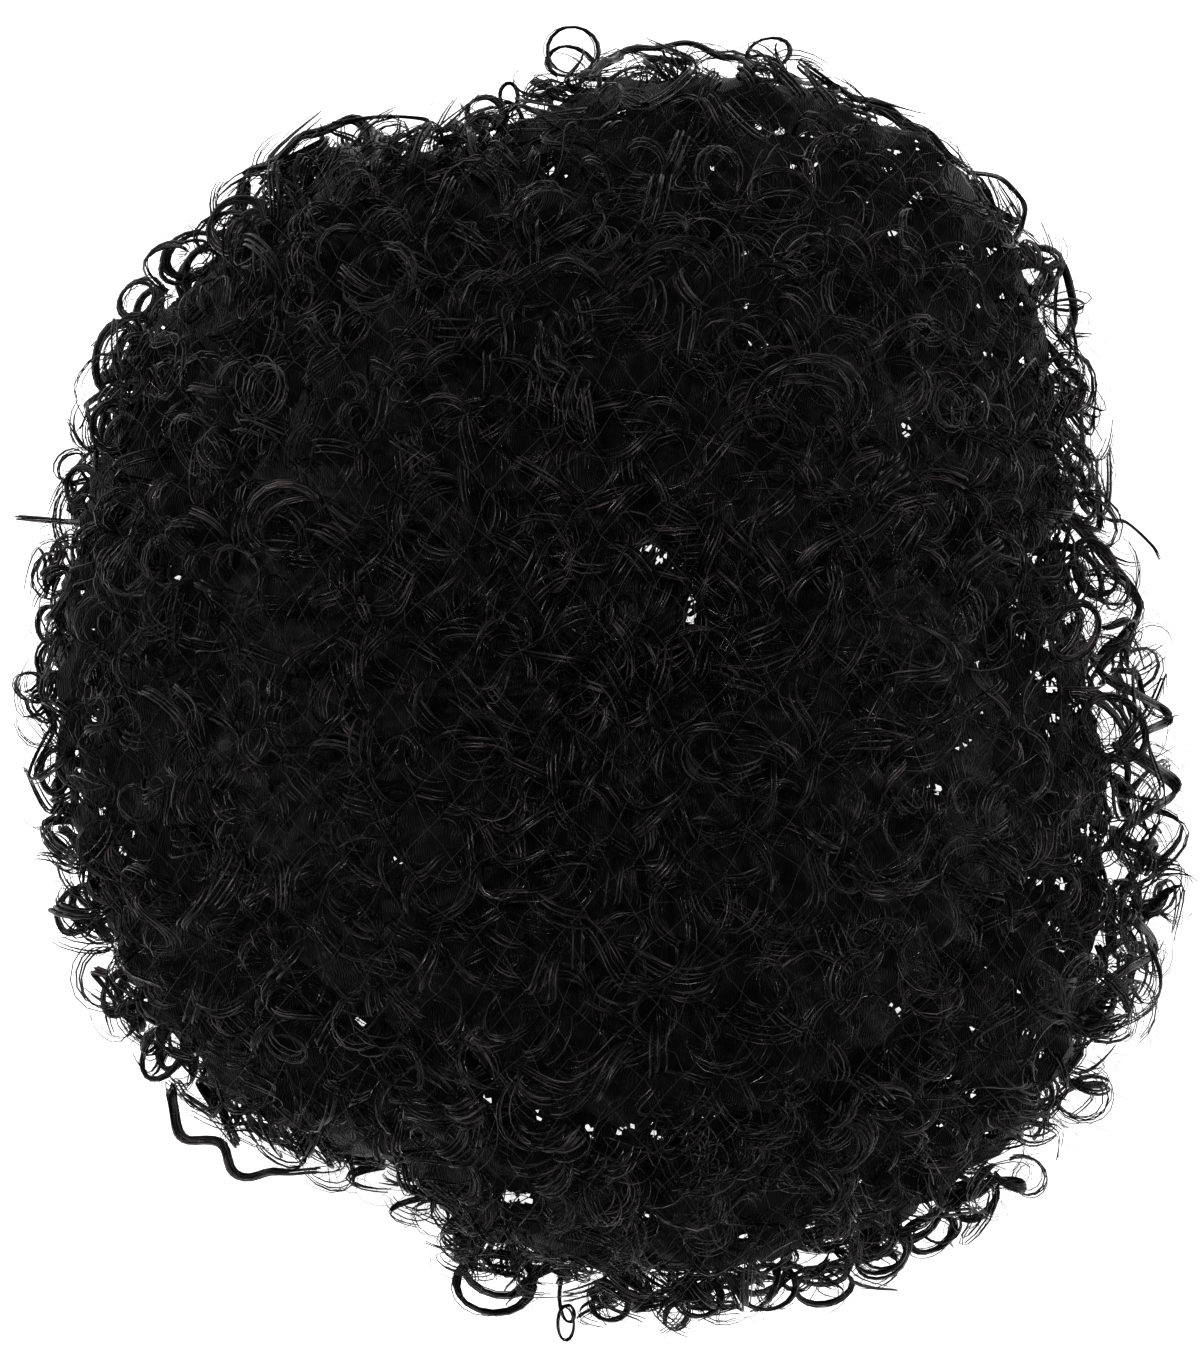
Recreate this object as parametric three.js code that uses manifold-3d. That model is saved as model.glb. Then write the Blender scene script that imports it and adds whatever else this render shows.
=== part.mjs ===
// Full cap wig of short tight curls, sitting rim-down the way it sits on a table.
// Millimetres, +Z up. The crown of the head is on top, -Y is the nape end and +Y the forehead end.
import * as THREE from "three";
import { mergeVertices } from "three/addons/utils/BufferGeometryUtils.js";
import Module from "manifold-3d";

const wasm = await Module();
wasm.setup();

// Cap: a stretch-net dome for a medium head, about 550 mm round its opening.
const CAP_HALF_WIDTH = 77;
const CAP_HALF_LENGTH = 100;
const CAP_HEIGHT = 116;
const CAP_WALL = 1.5;
const SIDES = 24;

// Rim band: the elastic edging tape round the opening, sewn outside the cap up to this latitude.
const BAND_TOP_LATITUDE = 7;
const BAND_THICKNESS = 2.4;
const SEWN_GAP = 0.4;

// Packed hair: the solid part of each weft row, from the cap out to this share of the hair's depth.
const PACKED_SHARE = 0.74;
const PARTING_SHARE = 0.025;

// Locks: the curls that stand out of the packed hair, each an open ring of hair with its ends sunk in.
const CURL_RADIUS = 10;
const CURL_OPENING = 90;
const CURL_LIFT = 3;
const LOCK_RADIUS = 6.2;
const LOCK_TIP_SHARE = 0.8;
const MOST_LEAN = 42;
const LOCK_SPACING = 35;
const LOCK_SIDES = 5;
const LOCK_STEPS = 6;

// Outline of the hair seen from above: how far the curls reach from the middle at each compass bearing,
// in degrees from +X towards +Y. The bay at 247 degrees lies between the left side and the nape.
const HAIR_OUTLINE = [
  { bearing: 0, reach: 133 },
  { bearing: 15, reach: 128 },
  { bearing: 30, reach: 135 },
  { bearing: 45, reach: 149 },
  { bearing: 60, reach: 156 },
  { bearing: 75, reach: 156 },
  { bearing: 90, reach: 154 },
  { bearing: 105, reach: 143 },
  { bearing: 120, reach: 151 },
  { bearing: 135, reach: 150 },
  { bearing: 150, reach: 145 },
  { bearing: 165, reach: 140 },
  { bearing: 180, reach: 140 },
  { bearing: 195, reach: 142 },
  { bearing: 210, reach: 145 },
  { bearing: 225, reach: 147 },
  { bearing: 240, reach: 141 },
  { bearing: 247, reach: 137 },
  { bearing: 255, reach: 149 },
  { bearing: 270, reach: 156 },
  { bearing: 285, reach: 158 },
  { bearing: 300, reach: 160 },
  { bearing: 315, reach: 158 },
  { bearing: 330, reach: 152 },
  { bearing: 345, reach: 144 },
];

// Partings between the weft rows, from the table up to the crown. latitude is the place on the cap, 0 at
// the rim and 90 at the crown. spread is the share of the outline at the hair's surface, height its height.
const PARTINGS = [
  { latitude: 0, spread: 0.95, height: 0 },
  { latitude: 14, spread: 1.0, height: 36 },
  { latitude: 28, spread: 0.97, height: 72 },
  { latitude: 42, spread: 0.86, height: 104 },
  { latitude: 56, spread: 0.68, height: 131 },
  { latitude: 70, spread: 0.44, height: 152 },
  { latitude: 84, spread: 0.17, height: 164 },
];
const WEFT_NAMES = [
  "weft_1_rim",
  "weft_2_sides",
  "weft_3_lower_crown",
  "weft_4_mid_crown",
  "weft_5_upper_crown",
  "weft_6_top",
];

// Crown tuft: the small bunch of hair that closes the last row, with one upright curl.
const TUFT_FOOT_RADIUS = 7;
const TUFT_PACKED_RADIUS = 15;
const TUFT_PACKED_HEIGHT = 152;
const TUFT_CURL_HEIGHT = 156;
const TUFT_CURL_RADIUS = 8;

const HAIR_BLACK = { color: 0x14110f, roughness: 0.45, metalness: 0 };
const NET_BLACK = { color: 0x1b1919, roughness: 0.85, metalness: 0 };
const TAPE_BLACK = { color: 0x171516, roughness: 0.75, metalness: 0 };

const { clamp, degToRad, lerp, radToDeg, smoothstep } = THREE.MathUtils;

// A number from 0 to 1 that looks random and is the same on every run.
function scatter(seed) {
  const wave = Math.sin(seed * 127.1 + 11.7) * 43758.5453;
  return wave - Math.floor(wave);
}

// How far the hair reaches at a bearing in radians, rounded smoothly between the rows of the table.
function reachAt(bearing) {
  const angle = ((radToDeg(bearing) % 360) + 360) % 360;
  const next = Math.max(HAIR_OUTLINE.findIndex((row) => row.bearing > angle), 0);
  const from = HAIR_OUTLINE.at(next - 1);
  const to = HAIR_OUTLINE[next];
  const span = (to.bearing - from.bearing + 360) % 360;
  return lerp(from.reach, to.reach, smoothstep((angle - from.bearing) / span, 0, 1));
}

// A point at a latitude and bearing on a shell that stands off the cap's outside.
function capPoint(latitude, bearing, standOff) {
  const angle = degToRad(latitude);
  return new THREE.Vector3(
    (CAP_HALF_WIDTH + standOff) * Math.cos(angle) * Math.cos(bearing),
    (CAP_HALF_LENGTH + standOff) * Math.cos(angle) * Math.sin(bearing),
    (CAP_HEIGHT + standOff) * Math.sin(angle),
  );
}

// A point on the hair's outer surface at a parting.
function surfacePoint(parting, bearing) {
  const reach = parting.spread * reachAt(bearing);
  return new THREE.Vector3(reach * Math.cos(bearing), reach * Math.sin(bearing), parting.height);
}

// A place in a weft row: share of the way from its lower to its upper parting, and depth of the way from
// a shell round the cap, 0, to the hair's surface, 1.
function rowPoint(row, share, depth, bearing, standOff = SEWN_GAP) {
  const lower = PARTINGS[row];
  const upper = PARTINGS[row + 1];
  const inner = capPoint(lerp(lower.latitude, upper.latitude, share), bearing, standOff);
  const outer = surfacePoint(lower, bearing).lerp(surfacePoint(upper, bearing), share);
  return inner.lerp(outer, depth);
}

// A ring round the crown axis whose section is worked out afresh at each bearing. sectionAt gives the
// section's corners in order, going up the outside and down the inside.
function ringGeometry(sectionAt) {
  const corners = sectionAt(0).length;
  const placeholder = Array.from({ length: corners + 1 }, (_, corner) => new THREE.Vector2(1, corner));
  const geometry = new THREE.LatheGeometry(placeholder, SIDES);
  const position = geometry.attributes.position;
  for (let side = 0; side <= SIDES; side += 1) {
    const section = sectionAt((2 * Math.PI * (side % SIDES)) / SIDES);
    for (let corner = 0; corner <= corners; corner += 1) {
      const point = section[corner % corners];
      position.setXYZ(side * (corners + 1) + corner, point.x, point.y, point.z);
    }
  }
  return geometry;
}

// A section spun round the crown axis and stretched from a round plan to the cap's oval one.
function ovalLathe(section) {
  const geometry = new THREE.LatheGeometry(section, SIDES);
  geometry.rotateX(Math.PI / 2);
  geometry.scale(1, CAP_HALF_LENGTH / CAP_HALF_WIDTH, 1);
  return geometry;
}

// A closed three.js geometry as a solid that can be joined and cut.
function solidOf(geometry) {
  const bare = geometry.clone();
  bare.deleteAttribute("normal");
  bare.deleteAttribute("uv");
  const merged = mergeVertices(bare, 1e-4);
  return new wasm.Manifold(
    new wasm.Mesh({
      numProp: 3,
      vertProperties: merged.attributes.position.array,
      triVerts: new Uint32Array(merged.index.array),
    }),
  );
}

// A joined or cut solid as a three.js geometry. Air closed in between locks counts as hair.
function geometryOf(solid) {
  const shells = solid.decompose().sort((a, b) => b.volume() - a.volume());
  const mesh = shells[0].getMesh();
  const geometry = new THREE.BufferGeometry();
  geometry.setAttribute("position", new THREE.BufferAttribute(mesh.vertProperties, 3));
  geometry.setIndex(new THREE.BufferAttribute(mesh.triVerts, 1));
  geometry.computeVertexNormals();
  return geometry;
}

function named(name, geometry, finish) {
  const mesh = new THREE.Mesh(geometry, new THREE.MeshStandardMaterial(finish));
  mesh.name = name;
  return mesh;
}

// The cap wall: down the inside from the crown to the rim, then up the outside.
function capGeometry() {
  const latitudes = [0, BAND_TOP_LATITUDE, ...PARTINGS.slice(1).map((parting) => parting.latitude)];
  const sideOf = (standOff) => latitudes.map((latitude) => {
    const point = capPoint(latitude, 0, standOff);
    return new THREE.Vector2(point.x, point.z);
  });
  const outside = [...sideOf(0), new THREE.Vector2(0, CAP_HEIGHT)];
  const inside = [...sideOf(-CAP_WALL), new THREE.Vector2(0, CAP_HEIGHT - CAP_WALL)];
  return ovalLathe([...inside.reverse(), ...outside]);
}

// The rim band follows the outside of the cap from the table up, with a flat edge to stand on.
function bandGeometry() {
  return ringGeometry((bearing) => [
    capPoint(0, bearing, SEWN_GAP),
    capPoint(0, bearing, SEWN_GAP + BAND_THICKNESS),
    capPoint(BAND_TOP_LATITUDE, bearing, SEWN_GAP + BAND_THICKNESS),
    capPoint(BAND_TOP_LATITUDE, bearing, SEWN_GAP),
  ]);
}

// The packed hair of a row. The lowest row stands on the table and is stepped to clear the rim band.
function packedGeometry(row) {
  const bottom = row === 0 ? 0 : PARTING_SHARE;
  const top = 1 - PARTING_SHARE;
  const bandTop = BAND_TOP_LATITUDE / PARTINGS[1].latitude + PARTING_SHARE;
  const clearOfBand = BAND_THICKNESS + 2 * SEWN_GAP;
  return ringGeometry((bearing) => {
    const outside = [bottom, top].map((share) => rowPoint(row, share, PACKED_SHARE, bearing));
    const inside = [rowPoint(row, top, 0, bearing)];
    if (row === 0) {
      inside.push(rowPoint(row, bandTop, 0, bearing));
      inside.push(rowPoint(row, bandTop, 0, bearing, clearOfBand));
      inside.push(rowPoint(row, bottom, 0, bearing, clearOfBand));
    } else {
      inside.push(rowPoint(row, bottom, 0, bearing));
    }
    return [...outside, ...inside];
  });
}

// A curl wound round its middle. inward is the ring's axis that points into the packed hair and has the
// opening on it, along the one that lies on the hair's surface.
class CurlPath extends THREE.Curve {
  constructor(middle, inward, along, radius) {
    super();
    this.middle = middle;
    this.inward = inward;
    this.along = along;
    this.radius = radius;
    this.axle = new THREE.Vector3().crossVectors(inward, along);
  }

  spokeAt(share, target) {
    const turn = degToRad(lerp(CURL_OPENING / 2, 360 - CURL_OPENING / 2, share));
    return target
      .set(0, 0, 0)
      .addScaledVector(this.inward, Math.cos(turn))
      .addScaledVector(this.along, Math.sin(turn));
  }

  getPoint(share, target = new THREE.Vector3()) {
    return this.spokeAt(share, target).multiplyScalar(this.radius).add(this.middle);
  }
}

// A lock is a ball drawn out along its curl: each ring of the ball becomes a section of the lock.
function lockGeometry(path) {
  const geometry = new THREE.SphereGeometry(1, LOCK_SIDES, LOCK_STEPS);
  const position = geometry.attributes.position;
  const point = new THREE.Vector3();
  const spoke = new THREE.Vector3();
  for (let i = 0; i < position.count; i += 1) {
    const share = Math.acos(clamp(-position.getY(i), -1, 1)) / Math.PI;
    const turn = Math.atan2(position.getZ(i), position.getX(i));
    const isEnd = Math.hypot(position.getX(i), position.getZ(i)) < 1e-6;
    const across = isEnd ? 0 : LOCK_RADIUS * lerp(1, LOCK_TIP_SHARE, share);
    path.getPoint(share, point);
    path.spokeAt(share, spoke);
    point.addScaledVector(spoke, across * Math.cos(turn));
    point.addScaledVector(path.axle, across * Math.sin(turn));
    position.setXYZ(i, point.x, point.y, point.z);
  }
  return geometry;
}

// One curl of a row: it leans over by some angle and faces any way along the surface.
function rowCurl(row, bearing, seed) {
  const packed = rowPoint(row, 0.5, PACKED_SHARE, bearing);
  const outward = packed.clone().sub(rowPoint(row, 0.5, 0, bearing)).normalize();
  const around = new THREE.Vector3(-Math.sin(bearing), Math.cos(bearing), 0);
  const along = around.applyAxisAngle(outward, 2 * Math.PI * scatter(seed));
  const lean = degToRad(MOST_LEAN) * (2 * scatter(seed + 0.3) - 1);
  const inward = outward.clone().negate().applyAxisAngle(along, lean);
  return lockGeometry(new CurlPath(packed.addScaledVector(outward, CURL_LIFT), inward, along, CURL_RADIUS));
}

// One row of hair: packed hair with its locks fused on.
function weftGeometry(row) {
  const meanReach = HAIR_OUTLINE.reduce((sum, { reach }) => sum + reach, 0) / HAIR_OUTLINE.length;
  const spread = (PARTINGS[row].spread + PARTINGS[row + 1].spread) / 2;
  const locks = Math.round((2 * Math.PI * meanReach * spread) / LOCK_SPACING);
  const curls = Array.from({ length: locks }, (_, i) => {
    const bearing = (2 * Math.PI * (i + (row % 2) / 2)) / locks;
    return solidOf(rowCurl(row, bearing, row * 50 + i));
  });
  return geometryOf(wasm.Manifold.union([solidOf(packedGeometry(row)), ...curls]));
}

function crownTuftGeometry() {
  const foot = CAP_HEIGHT + SEWN_GAP;
  const packed = ovalLathe([
    new THREE.Vector2(0, foot),
    new THREE.Vector2(TUFT_FOOT_RADIUS, foot),
    new THREE.Vector2(TUFT_PACKED_RADIUS, TUFT_PACKED_HEIGHT),
    new THREE.Vector2(0, TUFT_PACKED_HEIGHT),
  ]);
  const middle = new THREE.Vector3(0, 0, TUFT_CURL_HEIGHT);
  const down = new THREE.Vector3(0, 0, -1);
  const along = new THREE.Vector3(0, 1, 0);
  const curl = lockGeometry(new CurlPath(middle, down, along, TUFT_CURL_RADIUS));
  return geometryOf(solidOf(packed).add(solidOf(curl)));
}

const wig = new THREE.Group();
wig.add(named("cap", capGeometry(), NET_BLACK));
wig.add(named("rim_band", bandGeometry(), TAPE_BLACK));
WEFT_NAMES.forEach((name, row) => wig.add(named(name, weftGeometry(row), HAIR_BLACK)));
wig.add(named("crown_tuft", crownTuftGeometry(), HAIR_BLACK));

// The frame's origin is on the table under the middle of the wig.
const middle = new THREE.Box3().setFromObject(wig).getCenter(new THREE.Vector3());
for (const piece of wig.children) piece.position.set(-middle.x, -middle.y, 0);

export default wig;
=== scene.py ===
import math

import bmesh
import bpy
import numpy as np
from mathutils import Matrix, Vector


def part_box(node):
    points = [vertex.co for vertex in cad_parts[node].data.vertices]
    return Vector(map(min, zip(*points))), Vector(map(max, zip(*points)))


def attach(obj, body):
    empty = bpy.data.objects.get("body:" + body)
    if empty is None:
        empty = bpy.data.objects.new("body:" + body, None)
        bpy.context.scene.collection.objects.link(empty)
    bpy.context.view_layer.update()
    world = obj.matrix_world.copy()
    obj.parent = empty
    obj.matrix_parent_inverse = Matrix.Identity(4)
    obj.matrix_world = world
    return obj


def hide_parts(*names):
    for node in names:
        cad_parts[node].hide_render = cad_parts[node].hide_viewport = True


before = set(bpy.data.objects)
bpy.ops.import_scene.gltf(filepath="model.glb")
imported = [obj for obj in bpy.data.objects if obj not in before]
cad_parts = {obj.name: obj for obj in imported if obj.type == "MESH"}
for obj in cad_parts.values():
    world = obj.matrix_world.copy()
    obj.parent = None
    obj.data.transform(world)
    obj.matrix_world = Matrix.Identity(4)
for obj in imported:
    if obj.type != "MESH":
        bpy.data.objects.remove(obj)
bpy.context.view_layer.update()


# Cap
# A dome of stretch net, knitted from nylon thread, that goes over the head. It is open below, and every
# row of hair is sewn to its outside. It shows from underneath and through the thin places in the hair.
MM = 0.001
cap_low, cap_high = (np.array(corner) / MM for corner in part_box("cap"))
CAP_MIDDLE = (cap_low + cap_high) / 2 * (1, 1, 0)
CAP_HALF_WIDTH, CAP_HALF_LENGTH = (cap_high - cap_low)[:2] / 2
CAP_HEIGHT = cap_high[2]
NET_INSET = 0.8
NET_FINENESS = 4
NET_THREAD = 0.7
FUZZ_SIZE = 2.0


def linear(colour):
    """An sRGB hex colour as the linear RGBA that a shader takes."""
    channels = [int(colour[i:i + 2], 16) / 255 for i in (1, 3, 5)]
    return [c / 12.92 if c <= 0.04045 else ((c + 0.055) / 1.055) ** 2.4 for c in channels] + [1]


def add_node(material, kind, links=(), **settings):
    """Adds a shader node. Sockets are set by name, other settings as attributes, and links are pairs of
    an input's name and the output socket that feeds it."""
    node = material.node_tree.nodes.new(kind)
    for name, value in settings.items():
        if hasattr(node, name):
            setattr(node, name, value)
        else:
            node.inputs[name.replace("_", " ")].default_value = value
    for name, output in links:
        material.node_tree.links.new(node.inputs[name], output)
    return node


def new_material(name):
    """An empty material, with the object coordinates that its patterns use."""
    material = bpy.data.materials.new(name)
    material.use_nodes = True
    material.node_tree.nodes.clear()
    return material, add_node(material, "ShaderNodeTexCoord").outputs["Object"]


def finish_material(material, shader):
    """Joins a material's shader to its output."""
    add_node(material, "ShaderNodeOutputMaterial", [("Surface", shader.outputs["BSDF"])])


def add_piece(name, mesh, material, slot, *nodes):
    """Puts a finished mesh in the scene as a piece of the object that stands for some CAD nodes."""
    piece = bpy.data.objects.new(name, mesh)
    bpy.context.collection.objects.link(piece)
    mesh.materials.append(material)
    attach(piece, "root")
    if nodes:
        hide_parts(*nodes)
    return piece


# Nylon knitting thread: matt black, a little greyer where the yarn is fuzzy.
net_thread, place = new_material("nylon_net_thread")
fuzz = add_node(net_thread, "ShaderNodeTexNoise", [("Vector", place)], Scale=1 / (FUZZ_SIZE * MM), Detail=3)
thread_colour = add_node(
    net_thread, "ShaderNodeMix", [("Factor", fuzz.outputs["Fac"])], data_type="RGBA",
)
thread_colour.inputs["A"].default_value = linear("#121011")
thread_colour.inputs["B"].default_value = linear("#242123")
finish_material(net_thread, add_node(
    net_thread, "ShaderNodeBsdfPrincipled", [("Base Color", thread_colour.outputs["Result"])],
    Roughness=0.8,
))

dome = bmesh.new()
bmesh.ops.create_icosphere(dome, subdivisions=NET_FINENESS, radius=1)
lower_half = [vertex for vertex in dome.verts if vertex.co.z < -0.001]
bmesh.ops.delete(dome, geom=lower_half, context="VERTS")
cap_size = np.array((CAP_HALF_WIDTH, CAP_HALF_LENGTH, CAP_HEIGHT)) - NET_INSET
bmesh.ops.scale(dome, vec=Vector(cap_size * MM), verts=dome.verts)
bmesh.ops.translate(dome, vec=Vector((CAP_MIDDLE + (0, 0, NET_THREAD / 2)) * MM), verts=dome.verts)
cap_mesh = bpy.data.meshes.new("stretch_net_cap")
dome.to_mesh(cap_mesh)
dome.free()
cap_piece = add_piece("stretch_net_cap", cap_mesh, net_thread, "cap_net", "cap")
knit = cap_piece.modifiers.new("knit", "WIREFRAME")
knit.thickness = NET_THREAD * MM
knit.use_boundary = True


# Rim band
# Elastic tape folded over the cap's edge and sewn on the outside all round the opening. It is woven with
# rubber cores that run round the head, so its face is ribbed.
band_low, band_high = (np.array(corner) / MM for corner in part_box("rim_band"))
BAND_HEIGHT = band_high[2] - band_low[2]
BAND_THICKNESS = 2.2
BAND_STEPS = 128
BAND_EDGE = 0.7
BAND_LEAN = 0.6
RIB_SPACING = 1.6
RIB_DEPTH = 0.2
LINT_SIZE = 0.8

# Woven elastic: dull black, ribbed along the rubber cores, with a little grey lint.
elastic, place = new_material("woven_elastic_tape")
rib_height = add_node(elastic, "ShaderNodeSeparateXYZ", [("Vector", place)]).outputs["Z"]
ribs = add_node(elastic, "ShaderNodeMath", [("Value", rib_height)], operation="MULTIPLY")
ribs.inputs[1].default_value = math.tau / (RIB_SPACING * MM)
rib_wave = add_node(elastic, "ShaderNodeMath", [("Value", ribs.outputs["Value"])], operation="SINE")
lint = add_node(elastic, "ShaderNodeTexNoise", [("Vector", place)], Scale=1 / (LINT_SIZE * MM), Detail=4)
tape_colour = add_node(elastic, "ShaderNodeMix", [("Factor", lint.outputs["Fac"])], data_type="RGBA")
tape_colour.inputs["A"].default_value = linear("#100e0f")
tape_colour.inputs["B"].default_value = linear("#262325")
tape_bump = add_node(
    elastic, "ShaderNodeBump", [("Height", rib_wave.outputs["Value"])], Strength=0.6,
    Distance=RIB_DEPTH * MM,
)
finish_material(elastic, add_node(
    elastic, "ShaderNodeBsdfPrincipled",
    [("Base Color", tape_colour.outputs["Result"]), ("Normal", tape_bump.outputs["Normal"])],
    Roughness=0.75,
))

band_inner = (band_high - band_low)[0] / 2 - BAND_THICKNESS
tape = bmesh.new()
tape_section = [
    tape.verts.new(((band_inner + across) * MM, 0, up * MM))
    for across, up in (
        (0, 0), (BAND_THICKNESS, 0), (BAND_THICKNESS - BAND_LEAN, BAND_HEIGHT), (-BAND_LEAN, BAND_HEIGHT),
    )
]
tape_face = tape.faces.new(tape_section)
bmesh.ops.bevel(
    tape, geom=list(tape_face.verts), offset=BAND_EDGE * MM, affect="VERTICES", segments=2, profile=0.5,
    material=-1,
)
outline_edges = list(tape.edges)
bmesh.ops.delete(tape, geom=list(tape.faces), context="FACES_ONLY")
bmesh.ops.spin(
    tape, geom=list(tape.verts) + outline_edges, cent=(0, 0, 0), axis=(0, 0, 1), angle=math.tau,
    steps=BAND_STEPS, use_merge=True,
)
bmesh.ops.remove_doubles(tape, verts=tape.verts, dist=0.01 * MM)
stretch = (band_high - band_low)[1] / (band_high - band_low)[0]
bmesh.ops.scale(tape, vec=(1, stretch, 1), verts=tape.verts)
bmesh.ops.translate(tape, vec=Vector(CAP_MIDDLE * MM), verts=tape.verts)
bmesh.ops.recalc_face_normals(tape, faces=tape.faces)
for face in tape.faces:
    face.smooth = True
tape_mesh = bpy.data.meshes.new("elastic_rim_tape")
tape.to_mesh(tape_mesh)
tape.free()
add_piece("elastic_rim_tape", tape_mesh, elastic, "rim_tape", "rim_band")


# Packed hair
# Behind the curls the hair is crimped and packed tight, so dark that only a few fibres catch the light.
# It is sewn on with the rows and fills the space up to the curls. In small thin places, most of them on
# the right and between the rows, the table shows through.
HAIR_OUTLINE = np.array([  # bearing in degrees from +X towards +Y, how far the curls reach in mm
    (0, 133), (15, 128), (30, 135), (45, 149), (60, 156), (75, 156), (90, 154), (105, 143), (120, 151),
    (135, 150), (150, 145), (165, 140), (180, 140), (195, 142), (210, 145), (225, 147), (240, 141),
    (247, 137), (255, 149), (270, 156), (285, 158), (300, 160), (315, 158), (330, 152), (345, 144),
])
PARTINGS = np.array([  # latitude on the cap, share of the outline at the hair's surface, height there in mm
    (0, 0.95, 0), (14, 1.0, 36), (28, 0.97, 72), (42, 0.86, 104), (56, 0.68, 131), (70, 0.44, 152),
    (84, 0.17, 164), (90, 0.0, 168),
])
CURL_STYLES = np.array([  # bearing, how far out the hair is packed, advance of one turn in mm, curl radius
    (0, 0.75, 17, 6.0), (20, 0.79, 15, 6.2), (40, 0.92, 14, 6.5), (57, 0.97, 12, 7.0), (70, 0.96, 12, 7.0),
    (100, 0.85, 12, 7.0), (135, 0.90, 11, 7.0), (180, 0.95, 9, 6.2), (225, 0.89, 10, 6.2),
    (270, 0.84, 15, 6.5), (315, 0.90, 15, 6.2), (340, 0.77, 16, 6.0),
])
GAPS = np.array([  # x, y and radius in mm of the thin places, as seen from the eye at the outline's level
    # crown
    (10, 33, 1.2), (13, 30, 1.0), (17, 28, 0.8), (21, 20, 0.9), (21, 15, 1.3), (-53, -44, 0.8),
    # nape
    (-61, -85, 1.2), (-29, -104, 1.0), (-17, -108, 0.8), (-4, -111, 0.8), (4, -111, 0.9), (12, -112, 0.8),
    (27, -114, 0.9), (-6, -115, 0.8), (2, -117, 1.0), (12, -118, 1.0), (-24, -128, 1.9), (-20, -128, 1.9),
    (10, -132, 1.2), (34, -137, 1.5), (51, -136, 2.2), (60, -134, 1.2), (63, -124, 1.0),
    # forehead end
    (-38, 109, 1.0), (-21, 138, 1.0), (-14, 126, 1.2), (-10, 125, 0.8), (4, 141, 1.2), (25, 117, 1.1),
    (26, 127, 1.2), (35, 92, 0.8), (35, 107, 1.0), (37, 138, 1.0), (38, 83, 0.8), (42, 115, 0.8),
    (43, 136, 1.4), (46, 127, 0.8), (51, 135, 0.8), (52, 128, 0.8), (64, 138, 0.9), (65, 118, 0.8),
    (69, 127, 1.0), (71, 111, 1.0), (72, 131, 1.1), (77, 120, 1.3), (77, 132, 0.9), (83, 128, 1.0),
    (85, 117, 1.0),
    # right side, from the forehead end to the nape
    (88, 107, 0.8), (95, 106, 1.3), (103, 103, 1.2), (98, 95, 1.3), (92, 93, 0.9), (103, 93, 1.2),
    (104, 86, 0.9), (94, 81, 1.0), (103, 79, 1.0), (93, 69, 0.7), (74, 63, 0.9), (111, 36, 1.8),
    (107, 30, 1.8), (114, 24, 1.5), (123, 24, 1.8), (109, 21, 1.2), (101, 19, 1.0), (120, 18, 2.2),
    (115, 16, 2.0), (97, 15, 0.9), (120, 13, 2.0), (103, 11, 1.4), (110, 9, 1.8), (93, 4, 1.3),
    (107, 1, 1.4), (110, -1, 2.2), (101, -4, 0.8), (117, -6, 2.4), (93, -8, 0.9), (111, -9, 1.6),
    (125, -11, 3.4), (109, -13, 1.3), (89, -16, 0.7), (132, -20, 2.0), (114, -21, 1.6), (82, -27, 1.0),
    (124, -33, 1.4), (120, -37, 1.9), (122, -39, 1.4), (117, -44, 1.7), (123, -48, 1.2), (113, -50, 1.9),
    (107, -50, 1.0), (110, -60, 0.9), (118, -64, 0.8), (113, -67, 0.9), (89, -71, 0.9), (94, -71, 0.8),
    (102, -77, 0.8), (98, -79, 0.8), (72, -81, 0.8), (80, -86, 0.8), (91, -86, 0.9), (104, -87, 0.9),
    (74, -89, 0.8), (108, -92, 1.2), (85, -98, 0.8), (91, -102, 1.0), (82, -110, 0.8), (94, -112, 1.2),
    (78, -125, 1.0),
    # left side, from the forehead end to the nape
    (-97, 105, 1.2), (-110, 88, 1.0), (-118, 72, 0.9), (-128, 33, 0.9), (-107, 26, 0.8), (-130, 22, 0.9),
    (-127, 13, 0.9), (-102, -9, 0.7), (-127, -9, 1.2), (-124, -14, 0.9), (-131, -18, 1.2), (-130, -22, 1.0),
    (-130, -29, 1.2), (-125, -32, 1.3), (-117, -38, 1.1), (-120, -42, 1.0), (-118, -66, 1.0),
    (-102, -90, 1.0),
])
SPECKS = 2  # small extra holes beside each thin place
SPECK_RADIUS = 0.55
SPECK_TURN = 2.4
SPECK_AWAY = (1.6, 2.4)
EYE_HEIGHT = 1234.0
OUTLINE_LEVEL = 40.0
TOP_PACKED = 0.8
TOP_STARTS = 1.9
TOP_BLEND = 1.2
FOOT_DEPTH = 0.45
FOOT_STEPS = ((0.23, 0, 0.6), (0.32, 0.6, 1.1))  # depth that the foot gains, from which level, over how many
PACKED_LUMP = 0.04
LUMPS_ROUND = 31
LUMPS_UP = 7
PACKED_SPAN = (0.02, 6.97)
PACKED_SIDES = 150
PACKED_LEVELS = 46
PACKED_WALL = 0.4
SIDE_LEVELS = 24
NEAR_HOLE = 0.8
HOLE_CUTS = 4
HOLE_SHRUNK = 0.15
HOLE_RAGGED = 0.4
HOLE_SLOPE = 0.15
HOLE_DEPTH = 14.0
LOWEST_HOLE = 12.0
UNEVEN = 0.35
FIBRE_SPACING = 0.6
FIBRE_SWIRL = 7.0
FIBRE_DEPTH = 0.5
PACKED_TUFT = 5.0
WAVE_PERIOD = math.tau / 20  # of a wave texture at scale 1
speck_turn = np.arange(SPECKS) * SPECK_TURN + GAPS[:, :1]
speck_away = np.linspace(*SPECK_AWAY, SPECKS)
specks = np.stack([
    GAPS[:, :1] + speck_away * np.cos(speck_turn),
    GAPS[:, 1:2] + speck_away * np.sin(speck_turn),
    np.full(speck_turn.shape, SPECK_RADIUS),
], axis=-1)
SHELL_GAPS = np.concatenate([GAPS, specks.reshape(-1, 3)])


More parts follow.
